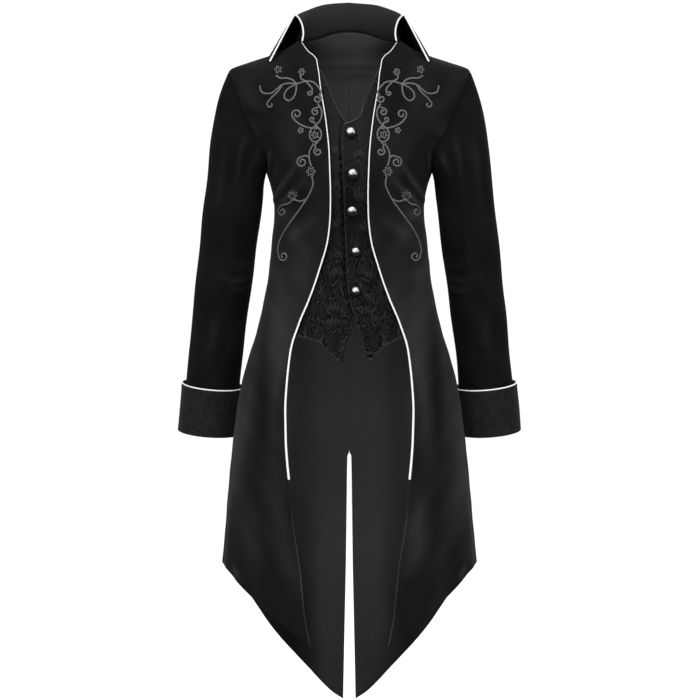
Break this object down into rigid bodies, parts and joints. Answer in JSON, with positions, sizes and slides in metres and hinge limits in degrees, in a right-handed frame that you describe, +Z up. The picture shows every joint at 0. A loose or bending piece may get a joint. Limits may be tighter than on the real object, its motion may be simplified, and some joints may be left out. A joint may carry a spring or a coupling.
{
  "type": "frock coat",
  "caption": "Black velvet frock coat with a cutaway piped front, pointed split tails, turned-down collar, deep cuffs and a sewn-in brocade waistcoat front, filled out as worn.",
  "frame": {"origin": "middle of the neck at shoulder height, where the wearer's shoulders carry the coat", "axes": "+Z up, the coat's front faces -Y, the wearer's left is at +X"},
  "size_m": [0.6248, 0.3596, 1.2964],
  "materials": {
    "velvet": "black cotton velvet pile",
    "brocade": "black figured brocade with a leafy scroll",
    "satin": "black satin lining",
    "cord": "twisted silver-white cord",
    "metal": "polished dark silver dome"
  },
  "bodies": {
    "root": {"back_left": "velvet", "back_right": "velvet", "front_left": "velvet", "front_right": "velvet", "sleeve_left": "velvet", "sleeve_right": "velvet", "cuff_left": "velvet", "cuff_right": "velvet", "collar": "velvet", "waistcoat_left": "brocade", "waistcoat_right": "brocade", "lining_left": "satin", "lining_right": "satin", "piping_front_left": "cord", "piping_front_right": "cord", "piping_collar_left": "cord", "piping_collar_right": "cord", "piping_cuff_left": "cord", "piping_cuff_right": "cord", "button_1": "metal", "button_2": "metal", "button_3": "metal", "button_4": "metal", "button_5": "metal"}
  },
  "joints": []
}
